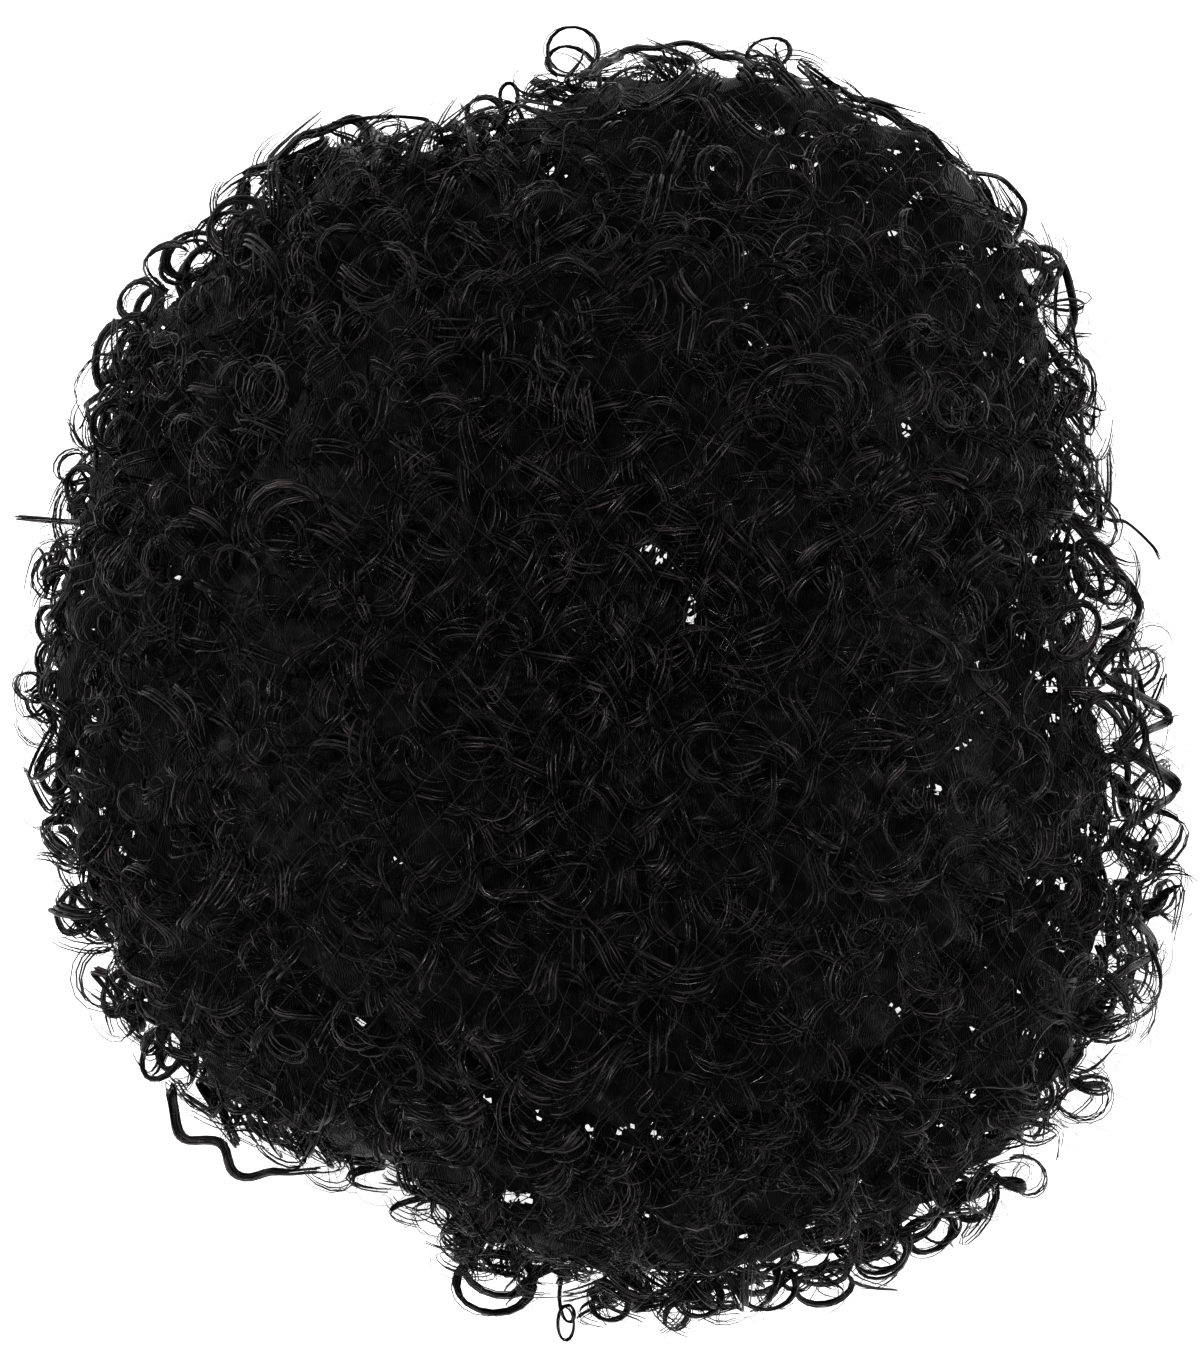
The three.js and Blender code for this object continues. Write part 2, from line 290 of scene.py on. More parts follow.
def smooth(value):
    """An even step from 0 to 1 that starts and ends softly."""
    value = np.clip(value, 0, 1)
    return value * value * (3 - 2 * value)


def reach(bearing):
    """How far the hair reaches from the middle, in mm, at a bearing in radians."""
    return np.interp(np.degrees(bearing), HAIR_OUTLINE[:, 0], HAIR_OUTLINE[:, 1], period=360)


def curl_style(bearing):
    """How far the hair is packed, the advance of one turn and the curl's radius at a bearing."""
    degrees = np.degrees(bearing)
    return [np.interp(degrees, CURL_STYLES[:, 0], column, period=360) for column in CURL_STYLES.T[1:]]


def hair_place(level, bearing, depth):
    """A place in the hair, in mm. level counts the rows up from the table, 0, to the crown, 7, and depth
    goes from the cap, 0, to the surface of the curls, 1."""
    rows = np.arange(len(PARTINGS))
    latitude, spread, height = (np.interp(level, rows, column) for column in PARTINGS.T)
    latitude = np.radians(latitude)
    around = np.stack([np.cos(bearing), np.sin(bearing)], axis=-1)
    inner = np.empty(np.shape(bearing) + (3,))
    inner[..., :2] = around * (CAP_HALF_WIDTH, CAP_HALF_LENGTH) * np.cos(latitude)[..., None]
    inner[..., 2] = CAP_HEIGHT * np.sin(latitude)
    outer = np.empty_like(inner)
    outer[..., :2] = around * (spread * reach(bearing))[..., None]
    outer[..., 2] = height
    return CAP_MIDDLE + inner + (outer - inner) * np.asarray(depth)[..., None]


def clear_of(points, gaps):
    """How far points, in mm, stay clear of the lines of sight through some thin places."""
    seen = points[..., :2] * (EYE_HEIGHT - OUTLINE_LEVEL) / (EYE_HEIGHT - points[..., 2:])
    offset = seen[..., None, :] - gaps[:, :2]
    return np.min(np.hypot(offset[..., 0], offset[..., 1]) - gaps[:, 2], axis=-1)


def arrays_to_mesh(name, points, faces):
    """A smooth mesh from points in mm and lists of faces, each an array of corner numbers."""
    mesh = bpy.data.meshes.new(name)
    mesh.vertices.add(len(points))
    mesh.vertices.foreach_set("co", (points * MM).astype(np.float32).ravel())
    corners = np.concatenate([part.ravel() for part in faces])
    sizes = np.concatenate([np.full(len(part), part.shape[1]) for part in faces])
    mesh.loops.add(len(corners))
    mesh.loops.foreach_set("vertex_index", corners.astype(np.int32))
    mesh.polygons.add(len(sizes))
    mesh.polygons.foreach_set("loop_start", (np.cumsum(sizes) - sizes).astype(np.int32))
    mesh.update(calc_edges=True)
    mesh.shade_smooth()
    return mesh


# Crimped hair in bulk: black, with fine fibres that swirl and painted glints that light them up in tufts.
# The fibres are drawn 0.6 mm apart, coarser than real ones, so that they show. Deep in the sides it is
# matt, and its black is darker there, as painted shade.
packed_materials = []
swirl_scale = WAVE_PERIOD / (FIBRE_SPACING * MM)
# Two copies: the sides' copy has a darker black than the top's, as painted shade, and less shine.
for name, shine, black_and_painted_shade, painted_glint_colour in (
    ("packed_hair_in_shade", 0.02, "#060505", "#1f1c1b"),
    ("packed_crimped_hair", 0.08, "#0a0909", "#1e1c1b"),
):
    packed_hair, place = new_material(name)
    swirl = add_node(
        packed_hair, "ShaderNodeTexWave", [("Vector", place)], Scale=swirl_scale, Distortion=24, Detail=2,
        Detail_Scale=1 / (swirl_scale * FIBRE_SWIRL * MM),
    )
    thin = add_node(packed_hair, "ShaderNodeMath", [("Value", swirl.outputs["Fac"])], operation="POWER")
    thin.inputs[1].default_value = 3
    # Painted glints: where this noise is high, the thin fibre streaks are coloured lighter, as if lit.
    tuft = add_node(
        packed_hair, "ShaderNodeTexNoise", [("Vector", place)], Scale=1 / (PACKED_TUFT * MM), Detail=2,
    )
    painted_glint_patch = add_node(
        packed_hair, "ShaderNodeMapRange", [("Value", tuft.outputs["Fac"])], From_Min=0.45, From_Max=0.7,
    )
    painted_glint_streak = add_node(packed_hair, "ShaderNodeMath", [("Value", thin.outputs["Value"])], operation="MULTIPLY")
    packed_hair.node_tree.links.new(painted_glint_streak.inputs[1], painted_glint_patch.outputs["Result"])
    packed_colour = add_node(
        packed_hair, "ShaderNodeMix", [("Factor", painted_glint_streak.outputs["Value"])], data_type="RGBA",
    )
    packed_colour.inputs["A"].default_value = linear(black_and_painted_shade)
    packed_colour.inputs["B"].default_value = linear(painted_glint_colour)
    packed_bump = add_node(
        packed_hair, "ShaderNodeBump", [("Height", swirl.outputs["Fac"])], Strength=1.0,
        Distance=FIBRE_DEPTH * MM,
    )
    finish_material(packed_hair, add_node(
        packed_hair, "ShaderNodeBsdfPrincipled",
        [("Base Color", packed_colour.outputs["Result"]), ("Normal", packed_bump.outputs["Normal"])],
        Roughness=0.4, Specular_IOR_Level=shine,
    ))
    packed_materials.append(packed_hair)

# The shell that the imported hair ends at. Its lower edge draws in under the curls of the rim.
levels = np.linspace(*PACKED_SPAN, PACKED_LEVELS)
bearings = np.arange(PACKED_SIDES) * math.tau / PACKED_SIDES
grid_level, grid_bearing = np.meshgrid(levels, bearings, indexing="ij")
lumps = np.sin(LUMPS_ROUND * grid_bearing + 2.1 * grid_level)
lumps = lumps * np.sin(LUMPS_UP * grid_level + 3 * np.sin(5 * grid_bearing))
packed_depth = curl_style(grid_bearing)[0]
packed_depth = packed_depth + (TOP_PACKED - packed_depth) * smooth((grid_level - TOP_STARTS) / TOP_BLEND)
packed_depth = packed_depth * sum(
    (more * smooth((grid_level - start) / over) for more, start, over in FOOT_STEPS), FOOT_DEPTH,
)
packed_points = hair_place(grid_level, grid_bearing, packed_depth + lumps * PACKED_LUMP).reshape(-1, 3)
ring = np.arange(PACKED_SIDES)
lower = np.arange(PACKED_LEVELS - 1)[:, None] * PACKED_SIDES + ring
beside = lower + (ring + 1) % PACKED_SIDES - ring
packed_faces = np.stack([lower, beside, beside + PACKED_SIDES, lower + PACKED_SIDES], axis=-1)
eye = Vector((0, 0, EYE_HEIGHT * MM))

for name, material, faces in (
    ("packed_hair_sides", packed_materials[0], packed_faces[:SIDE_LEVELS]),
    ("packed_hair_top", packed_materials[1], packed_faces[SIDE_LEVELS:]),
):
    first = faces.min()
    faces = faces.reshape(-1, 4) - first
    points = packed_points[first:][:faces.max() + 1]
    packed_mesh = arrays_to_mesh(name, points, [faces])
    shell = bmesh.new()
    shell.from_mesh(packed_mesh)
    corners = points[faces]
    sides = (corners + np.roll(corners, 1, axis=1)) / 2
    samples = np.concatenate([corners, sides, corners.mean(axis=1, keepdims=True)], axis=1)
    clear_faces = clear_of(samples, SHELL_GAPS).min(axis=1)
    near = [face for face, clear in zip(shell.faces, clear_faces) if clear < NEAR_HOLE]
    near_edges = list({edge for face in near for edge in face.edges})
    bmesh.ops.subdivide_edges(shell, edges=near_edges, cuts=HOLE_CUTS, use_grid_fill=True)
    for vertex in shell.verts:
        x, y, z = vertex.co / MM
        vertex.co += Vector((math.sin(5.1 * y + 2.3 * z), math.sin(4.7 * x + 3.1 * z), 0)) * UNEVEN * MM
    shell.normal_update()
    middles = np.array([face.calc_center_median() for face in shell.faces]) / MM
    middle_x, middle_y, heights = middles.T
    ragged = HOLE_SHRUNK + HOLE_RAGGED * np.sin(middle_x * 2.3) * np.sin(middle_y * 2.7 + heights)
    clear_middles = clear_of(middles, SHELL_GAPS) + ragged
    holes = [
        face for face, clear, height in zip(shell.faces, clear_middles, heights)
        if clear < 0 and height > LOWEST_HOLE and abs(face.normal.z) > HOLE_SLOPE
    ]
    inner_edges = {edge for face in holes for edge in face.edges if face.normal.z > 0}
    bmesh.ops.delete(shell, geom=holes, context="FACES")
    hole_edges = [edge for edge in shell.edges if edge in inner_edges and edge.is_boundary]
    tubes = bmesh.ops.extrude_edge_only(shell, edges=hole_edges)
    for part in tubes["geom"]:
        if isinstance(part, bmesh.types.BMVert):
            part.co += (part.co - eye).normalized() * min(HOLE_DEPTH * MM, part.co.z / 2)
    for face in shell.faces:
        face.smooth = True
    shell.to_mesh(packed_mesh)
    shell.free()
    packed_piece = add_piece(name, packed_mesh, material, "hair")
    packed_wall = packed_piece.modifiers.new("wall", "SOLIDIFY")
    packed_wall.thickness = PACKED_WALL * MM


# Weft rows
# Hair is sewn in rows to the outside of the cap, and each lock is set in a tight corkscrew curl. On top
# the curls and waves lie on each other, and round the rim they hang free and come apart at the tips.
RIBBON_HALF_WIDTH = 0.7
RIBBON_HALF_DEPTH = 0.2
RIBBON_FIBRES = 4
HAIR_RADIUS = 0.17
STRAY_RADIUS = 0.06
STRAY_STEPS = 9
STRAY_LENGTH = (2, 10)
STRAY_BEND = (3, 8)
STRAY_TURNS = (0.35, 0.8)
LOWEST_ROOT = 0.15
FREE_LEVEL = 2.0  # below it the locks hang free, and there are fewer where the hair is packed less than full
FULL_PACKED = 0.85
CROWN_SWIRL = np.array((21, 20, 150))
FREE_TURNS = (1.1, 1.8)
LYING_TURNS = (0.8, 1.3)
WAVED_SHARE = 0.5
WAVED_ADVANCE = 1.7
WAVED_RADIUS = 0.6
RADIUS_RANGE = (0.65, 1.3)
LENGTH_RANGE = (0.75, 1.3)
LOCK_WIDTH = (3, 7)
CURL_TUFT = 6.0
CURL_FIBRE_DEPTH = 0.25
WEFT_ROWS = (
    # CAD node, locks, steps along a strand, how flat the locks lie, how far out they stand, ribbons in each,
    # the ribbons' share of full width, single hairs in each, stray hairs in the row
    ("weft_1_rim", 260, 17, 0.1, 1.10, 3, 0.9, 2, 260),
    ("weft_2_sides", 300, 16, 0.25, 1.10, 3, 0.7, 2, 260),
    ("weft_3_lower_crown", 330, 15, 0.45, 1.06, 3, 0.5, 2, 150),
    ("weft_4_mid_crown", 330, 15, 0.55, 1.03, 3, 0.45, 2, 150),
    ("weft_5_upper_crown", 270, 15, 0.6, 1.03, 3, 0.45, 2, 130),
    ("weft_6_top", 180, 15, 0.6, 1.03, 3, 0.45, 2, 90),
    ("crown_tuft", 34, 15, 0.6, 1.0, 3, 0.45, 2, 20),
)
rng = np.random.default_rng(7)


def unit(vectors):
    """The same directions with a length of 1."""
    return vectors / np.linalg.norm(vectors, axis=-1, keepdims=True)


def square_to(vectors, axes):
    """The part of each vector that is square to its axis, as a unit vector."""
    return unit(vectors - axes * np.sum(vectors * axes, axis=-1, keepdims=True))


def fibre_tubes(paths, facing, half_width, half_depth, fibres=1, kept_over_gaps=0.0):
    """Flat three-sided tubes along many paths at once. paths and facing are strands by steps by 3, and
    the half sizes are one for each step. Most strands that cross a thin place are left out. Gives the
    points, the sides as quads, the ends as triangles, and each point's place across its fibres."""
    between = (paths[:, 1:] + paths[:, :-1]) / 2
    clear = clear_of(np.concatenate([paths, between], axis=1), GAPS) - half_width[0]
    kept = np.all(clear > 0, axis=1) | (rng.uniform(size=len(paths)) < kept_over_gaps)
    paths, facing = paths[kept], facing[kept]
    strands, steps = paths.shape[:2]
    along = unit(np.gradient(paths, axis=1))
    ridge = square_to(facing, along)
    side = np.cross(along, ridge) * half_width[:, None]
    ridge = ridge * half_depth[:, None]
    points = np.stack([paths + ridge, paths + side - ridge / 2, paths - side - ridge / 2], axis=2)
    across = np.broadcast_to((0.5, 1.0, 0.0), (strands, steps, 3)) * fibres
    across = rng.integers(0, 900, (strands, 1, 1)) + across
    first = (np.arange(strands)[:, None] * steps + np.arange(steps - 1)) * 3
    corner = np.arange(3)
    here = first[..., None] + corner
    beside = first[..., None] + (corner + 1) % 3
    sides = np.stack([here, beside, beside + 3, here + 3], axis=-1).reshape(-1, 4)
    start = np.arange(strands)[:, None] * steps * 3
    ends = np.concatenate([start + (2, 1, 0), start + 3 * (steps - 1) + corner])
    return points.reshape(-1, 3), sides, ends, across.ravel()


def hair_mesh(name, bundles):
    """One mesh from several bundles of fibre tubes."""
    points, quads, caps, across = [], [], [], []
    count = 0
    for bundle_points, sides, ends, bundle_across in bundles:
        points.append(bundle_points)
        quads.append(sides + count)
        caps.append(ends + count)
        across.append(bundle_across)
        count += len(bundle_points)
    mesh = arrays_to_mesh(name, np.concatenate(points), [np.concatenate(quads), np.concatenate(caps)])
    fibres = mesh.attributes.new("across", "FLOAT", "POINT")
    fibres.data.foreach_set("value", np.concatenate(across).astype(np.float32))
    return mesh


def corkscrews(locks, strands, steps, loose, ragged):
    """The paths of the strands in some locks, and the way that their flat sides face. loose is how far
    the strands stand off their lock, and ragged how much shorter some of them are."""
    each = (len(locks["root"]), strands, 1)
    lock = {name: np.asarray(value)[:, None, None] for name, value in locks.items()}
    share = np.linspace(0, 1, steps) * (1 - rng.uniform(0, ragged, each))
    # Strands are a little out of step, lie side by side across the lock and fan out in its middle.
    turn = rng.normal(0, 0.12 * loose, each) + math.tau * lock["turns"] * (share - lock["pivot"])
    spread = (np.arange(strands) + 0.5)[:, None] / strands - 0.5 + rng.normal(0, 0.09, each)
    fan = 0.6 + 0.4 * np.sin(math.pi * np.clip(share * 1.1, 0, 1))
    # A free lock opens out from a narrow root, and a lying one keeps its width.
    opening = 1 - (1 - 2 * lock["pivot"]) * 0.7 * (1 - smooth(share / 0.35))
    swing = lock["radius"] * opening * (1 + lock["rings"] * spread + rng.normal(0, 0.06 * loose, each))
    facing = lock["first"] * np.cos(turn)[..., None] + lock["second"] * np.sin(turn)[..., None]
    paths = lock["root"] + lock["axis"] * (lock["length"] * share)[..., None] + facing * swing[..., None]
    paths = paths + lock["aside"] * (spread * loose * fan)[..., None]
    paths = paths + lock["bend"] * (4 * (share - lock["pivot"]) ** 2)[..., None]
    # Strands wander more towards their tips, and none goes below the table.
    wander = rng.normal(0, 0.4 * loose, each + (3,)) * np.linspace(0.4, 1.3, steps)[:, None]
    paths = (paths + wander).reshape(-1, steps, 3)
    paths[..., 2] = np.maximum(paths[..., 2], RIBBON_HALF_WIDTH)
    return paths, (facing + lock["face"]).reshape(-1, steps, 3)


def rooted(row, count, far_out, deepest):
    """Bearings, places and directions for some hairs of a row: the surface there, the way out of the cap,
    and the way that hair falls from the crown. Fewer are left where the free rows are thin."""
    level = row + (np.arange(count) * 0.618 + rng.uniform(0, 0.2, count)) % 1
    level = np.maximum(level, LOWEST_ROOT + (1 - LOWEST_ROOT) * level)
    bearing = (np.arange(count) + rng.uniform(0, 1, count)) * math.tau / count
    full = np.where(level < FREE_LEVEL, curl_style(bearing)[0] / FULL_PACKED, 1)
    kept = rng.uniform(size=count) < full
    level, bearing = level[kept], bearing[kept]
    surface = hair_place(level, bearing, far_out - rng.uniform(0, 1, len(level)) ** 2 * deepest)
    outward = unit(surface - hair_place(level, bearing, np.zeros(len(level))))
    fall = square_to(surface - CAP_MIDDLE - CROWN_SWIRL, outward)
    return bearing, surface, outward, fall


# Heat-set fibre: near-black with a satin shine along each hair. In patches of painted sheen the fibres are
# coloured a pale brownish grey. Each fibre there is lighter along its middle, with painted shade at its
# edges, and some fibres are lighter than others at random. The fibres across a ribbon are drawn 0.35 mm
# thick, thicker than real ones, so that they show.
curl_hair, place = new_material("heat_set_black_fibre")
across = add_node(curl_hair, "ShaderNodeAttribute", attribute_name="across").outputs["Fac"]
fibres = add_node(curl_hair, "ShaderNodeMath", [("Value", across)], operation="MULTIPLY")
fibres.inputs[1].default_value = 2
fibre_round = add_node(
    curl_hair, "ShaderNodeMath", [("Value", fibres.outputs["Value"])], operation="PINGPONG",
)
fibre_round.inputs[1].default_value = 1
# Painted sheen: where this noise is high, the locks are coloured a pale brownish grey, as if lit.
tuft = add_node(curl_hair, "ShaderNodeTexNoise", [("Vector", place)], Scale=1 / (CURL_TUFT * MM), Detail=1)
painted_sheen_patch = add_node(
    curl_hair, "ShaderNodeMapRange", [("Value", tuft.outputs["Fac"])], From_Min=0.52, From_Max=0.7,
)
painted_sheen_colour = add_node(curl_hair, "ShaderNodeMix", [("Factor", painted_sheen_patch.outputs["Result"])], data_type="RGBA")
painted_sheen_colour.inputs["A"].default_value = linear("#080809")
painted_sheen_colour.inputs["B"].default_value = linear("#5e5456")
fibre_number = add_node(curl_hair, "ShaderNodeMath", [("Value", across)], operation="FLOOR")
fibre_chance = add_node(
    curl_hair, "ShaderNodeTexWhiteNoise", [("W", fibre_number.outputs["Value"])], noise_dimensions="1D",
)
# Each fibre is coloured lighter along its middle and darker at its edges, as painted shade between fibres.
fibre_shade = add_node(
    curl_hair, "ShaderNodeMath", [("Value", fibre_round.outputs["Value"])], operation="MULTIPLY",
)
curl_hair.node_tree.links.new(fibre_shade.inputs[1], fibre_chance.outputs["Value"])
fibre_rough = add_node(
    curl_hair, "ShaderNodeMapRange", [("Value", fibre_chance.outputs["Value"])], To_Min=0.18, To_Max=0.6,
)
curl_colour = add_node(
    curl_hair, "ShaderNodeMix",
    [("Factor", fibre_shade.outputs["Value"]), ("B", painted_sheen_colour.outputs["Result"])], data_type="RGBA",
)
curl_colour.inputs["A"].default_value = linear("#060606")
fibre_bump = add_node(
    curl_hair, "ShaderNodeBump", [("Height", fibre_round.outputs["Value"])], Strength=1.0,
    Distance=CURL_FIBRE_DEPTH * MM,
)
finish_material(curl_hair, add_node(
    curl_hair, "ShaderNodeBsdfPrincipled",
    [
        ("Base Color", curl_colour.outputs["Result"]), ("Normal", fibre_bump.outputs["Normal"]),
        ("Roughness", fibre_rough.outputs["Result"]),
    ],
    Specular_IOR_Level=0.35, Specular_Tint=linear("#fff5f5"),
))

# Locks: corkscrews that lean from straight out to lying flat, some of them drawn out into waves.
for row, (node, lock_count, steps, lie, far_out, ribbons, wide, hairs, stray_count) in enumerate(WEFT_ROWS):
    bearing, surface, outward, fall = rooted(row, lock_count, far_out, 0.3 - 0.28 * lie)
    lock_count = len(bearing)
    sideways = square_to(rng.normal(size=(lock_count, 3)), outward)
    flat = np.clip(lie + rng.normal(0, 0.15 + 0.3 * lie, lock_count), 0, 1)
    lean = flat[:, None]
    axis = unit((1 - lean) * outward + 0.4 * fall + (0.2 + 0.8 * lean) * sideways)
    first = square_to(outward + 0.1 * sideways, axis)
    second = np.cross(axis, first) * rng.choice((-1, 1), size=(lock_count, 1))
    advance, radius = curl_style(bearing)[1:]
    waved = rng.uniform(size=lock_count) < WAVED_SHARE * flat
    advance = np.where(waved, WAVED_ADVANCE, 1.0 - 0.3 * lie) * advance
    radius = np.where(waved, WAVED_RADIUS, 1.0 - 0.2 * lie) * radius * rng.uniform(*RADIUS_RANGE, lock_count)
    turns = rng.uniform(*FREE_TURNS, lock_count) * (1 - lie) + rng.uniform(*LYING_TURNS, lock_count) * lie
    length = turns * advance * rng.uniform(*LENGTH_RANGE, lock_count)
    width = rng.uniform(*LOCK_WIDTH, (lock_count, 1)) * (0.4 + lie)
    locks = dict(
        root=surface - axis * (0.9 - 0.4 * lean) * length[:, None] - outward * radius[:, None] * 0.85 * lean,
        axis=axis,
        first=first,
        second=second,
        aside=np.where(waved[:, None], second, axis) * width,
        face=1.5 * lie * outward,
        length=length,
        radius=radius,
        rings=0.8 * lie * (1 - flat),
        turns=turns,
        pivot=flat / 2,
        bend=(0.06 * fall - 0.04 * outward) * length[:, None] - 3 * lean * outward,
    )
    share = np.linspace(0, 1, steps)
    taper = 1 - 0.75 * smooth((share - 0.5) / 0.5) - 0.6 * lie * smooth((0.4 - share) / 0.4)
    bundles = [
        fibre_tubes(
            *corkscrews(locks, ribbons, steps, 0.8, 0.12), taper * RIBBON_HALF_WIDTH * wide,
            taper * RIBBON_HALF_DEPTH, round(RIBBON_FIBRES * wide),
        ),
        fibre_tubes(
            *corkscrews(locks, hairs, steps, 1.3, 0.25), taper * HAIR_RADIUS, taper * HAIR_RADIUS,
            kept_over_gaps=0.7,
        ),
    ]

    # Strays: single fine hairs that stand off the row every way.
    bearing, surface, outward, fall = rooted(row, stray_count, far_out, 0.2)
    stray_count = len(bearing)
    axis = unit(rng.normal(size=(stray_count, 3)))
    first = square_to(rng.normal(size=(stray_count, 3)), axis)
    strays = dict(
        root=surface - 4 * outward,
        axis=axis,
        first=first,
        second=np.cross(axis, first),
        aside=np.zeros((stray_count, 3)),
        face=np.zeros((stray_count, 3)),
        length=rng.uniform(*STRAY_LENGTH, stray_count),
        radius=rng.uniform(*STRAY_BEND, stray_count),
        rings=np.zeros(stray_count),
        turns=rng.uniform(*STRAY_TURNS, stray_count),
        pivot=np.full(stray_count, 0.5),
        bend=np.zeros((stray_count, 3)),
    )
    thin = np.full(STRAY_STEPS, STRAY_RADIUS)
    bundles.append(fibre_tubes(*corkscrews(strays, 1, STRAY_STEPS, 1.0, 0.3), thin, thin, kept_over_gaps=0.8))
    add_piece(node + "_curls", hair_mesh(node + "_curls", bundles), curl_hair, "hair", node)


# Loose curls
# Some locks have sprung out of their rows. They stand along the outline as open loops and zigzags, or lie
# in long waves over the others, still rooted in the hair beside them.
LOOPS = (  # x and y of the middle as seen, half length, half width, turn in degrees, bundle's thickness
    (-8.4, 156, 6.4, 6.0, 0, 1.0), (-30, 140.5, 4.4, 4.0, 0, 1.3), (-24, 144.5, 3.2, 2.2, 90, 0.9),
    (40, 155, 5.5, 4.0, 20, 1.0), (107, 102, 6.0, 5.0, 30, 2.2), (114, 72, 5.0, 4.0, 90, 1.8),
    (-91, 113, 7.2, 6.2, 30, 2.6), (-103, 105, 7.0, 4.5, 30, 2.2), (-116, 94, 5.0, 4.0, 45, 1.8),
    (-121, 80, 9.0, 5.0, 80, 2.2), (-122, 63, 6.0, 5.0, 80, 2.0), (-130, 48, 5.0, 4.0, 90, 1.6),
    (-138, 14, 4.5, 2.8, 90, 1.4), (-137, 5, 5.0, 4.0, 90, 1.4), (-136, -22, 5.5, 4.0, 80, 1.6),
    (-131, -57, 6.0, 4.5, 60, 1.8), (-120, -77, 6.0, 4.0, 60, 1.8), (-110, -92, 7.0, 4.5, 60, 1.8),
    (-28, -149, 9.5, 7.0, 0, 2.6), (-10, -159, 4.2, 2.0, 90, 0.7), (1, -154, 4.5, 4.0, 0, 1.5),
    (23, -152, 5.5, 4.5, 0, 1.7), (40, -150, 7.0, 5.5, 10, 2.0), (54, -150, 7.0, 4.5, 10, 2.0),
    (68, -141, 6.5, 5.0, 20, 2.0), (80, -137, 6.0, 4.0, 30, 1.8), (92, -128, 6.0, 3.5, 45, 1.6),
    (126, -12, 8.5, 6.5, -50, 2.4), (48, 69, 12.0, 9.5, 20, 4.5), (43, 121, 7.5, 5.0, 0, 1.6),
    (-79, 40, 9.0, 8.0, 0, 4.0), (116, 12, 7.0, 5.0, 60, 2.0), (121, 28, 7.0, 4.5, -60, 1.8),
)
LONG_LOCKS = (  # bundle's thickness, height of its waves, then x and y of points along the lock as seen
    (3.0, 0.8, (-89, 124), (-78, 132), (-67, 138), (-60, 137), (-56, 132), (-58, 126)),
    (3.0, 0.8, (-85, 122), (-76, 129), (-67, 132), (-61, 129), (-63, 122)),
    (1.1, 0, (-67, 138), (-57, 139.5), (-50, 139.5), (-44, 138.5), (-48, 136), (-55, 132)),
    (2.2, 1.5, (-50, 130), (-45, 136), (-39, 138), (-34, 135), (-32, 130)),
    (3.0, 0.6, (-6, 149), (5, 155), (15, 157), (23, 156.5), (33, 153), (46, 148)),
    (3.0, 0.6, (44, 149), (52, 148), (61, 145), (70, 141), (79, 135), (87, 128), (92, 122)),
    (1.5, 0, (90, 126), (97, 125), (101, 122), (104, 118), (103.7, 114), (102, 110), (97, 104)),
    (2.6, 0, (105, 90), (108, 99), (113, 103.5), (115.5, 97), (116, 90), (113, 84)),
    (1.5, 0, (-120, 41), (-131, 39.5), (-139, 40), (-146, 40.5)),
    (0.8, 0, (117, 46), (124, 40), (129, 39), (135, 33.5), (137, 30)),
    (
        2.8, 0, (116, 40), (125, 29), (132, 18), (126, 8), (122, 2), (131, -3.5), (139, -9), (132, -13),
        (126, -18),
    ),
    (
        2.8, 0, (126, -15), (135, -21), (141.5, -26.5), (135, -32), (127, -38), (134, -43), (138, -47),
        (128, -53),
    ),
    (2.4, 0, (124, -53), (132, -60), (136, -66.5), (128, -72), (121, -77)),
    (2.2, 1.5, (-106, -99), (-108, -106), (-103, -112), (-95, -116), (-88, -123), (-79, -120), (-72, -122)),
    (6.0, 2, (70, 52), (68, 46), (74, 41), (76, 34), (71, 26)),
    (7.0, 2, (-18, 83), (-12, 79), (-8, 72), (-5, 63)),
    (9.0, 3, (45, -97), (44, -106), (37, -114), (28, -120), (23, -127)),
    (9.0, 3, (22, -108), (22.5, -118), (24.5, -128), (30, -137)),
    (8.0, 3, (2, -116), (3.5, -128), (5.5, -142)),
    (5.0, 3, (-11, -111), (-14, -122), (-11, -135)),
    (5.0, 3, (58, -104), (62, -116), (56, -128), (60, -140)),
    (5.0, 3, (-34, -104), (-38, -116), (-32, -130), (-36, -142)),
)
LOOP_TURNS = (-1.3, 1.0)
LOOP_ADVANCE = 9.0
LOOP_RISE = 2
LOOP_SLANT = 0.5
LOOP_STEPS = 40
LONG_STEPS = 40
LOOSE_RIBBONS = 4
FULL_RIBBONS = 13
FULL_THICKNESS = 4.8
LOOSE_HAIRS = 4
LOOSE_FINENESS = 2.6
LOOSE_SPREAD = 5  # a lock's thickness against the spread of its strands
LOOSE_KEPT = 0.8
LOOSE_TAPER = 0.6
TIP_START, TIP_LENGTH = 0.7, 0.3
FACING_UP = 1.2
LIFT = 1.0
LONG_WAVE = 15.0
SPRUNG_LEVELLED = 0.65  # a lock that springs out of the outline keeps nearer to one height than the hair does


def surface_height(places):
    """The height of the hair's surface, in mm, straight above places given by x and y."""
    offset = places - CAP_MIDDLE[:2]
    share = np.hypot(offset[..., 0], offset[..., 1]) / reach(np.arctan2(offset[..., 1], offset[..., 0]))
    upper = PARTINGS[1:]
    return np.interp(share, upper[::-1, 1], upper[::-1, 2])


def on_surface(seen, lift, levelled=0):
    """Places on the hair, in mm, that show at x and y on the outline's level when seen from the eye.
    levelled is how far their heights draw together, from 0 to 1."""
    height = surface_height(seen) + lift
    height = height + (height.mean() - height) * levelled
    return np.column_stack([seen * ((EYE_HEIGHT - height) / (EYE_HEIGHT - OUTLINE_LEVEL))[:, None], height])


def through(points, steps):
    """A smooth path of some steps through a few points."""
    points = np.array(points, float)
    ends = np.concatenate([[2 * points[0] - points[1]], points, [2 * points[-1] - points[-2]]])
    place = np.linspace(0, len(points) - 1.0001, steps)
    start = place.astype(int)
    part = (place - start)[:, None]
    before, here, after, beyond = (ends[start + i] for i in range(4))
    return here + part * (after - before) / 2 + part ** 2 * (
        before - 2.5 * here + 2 * after - 0.5 * beyond
    ) + part ** 3 * (1.5 * (here - after) + (beyond - before) / 2)


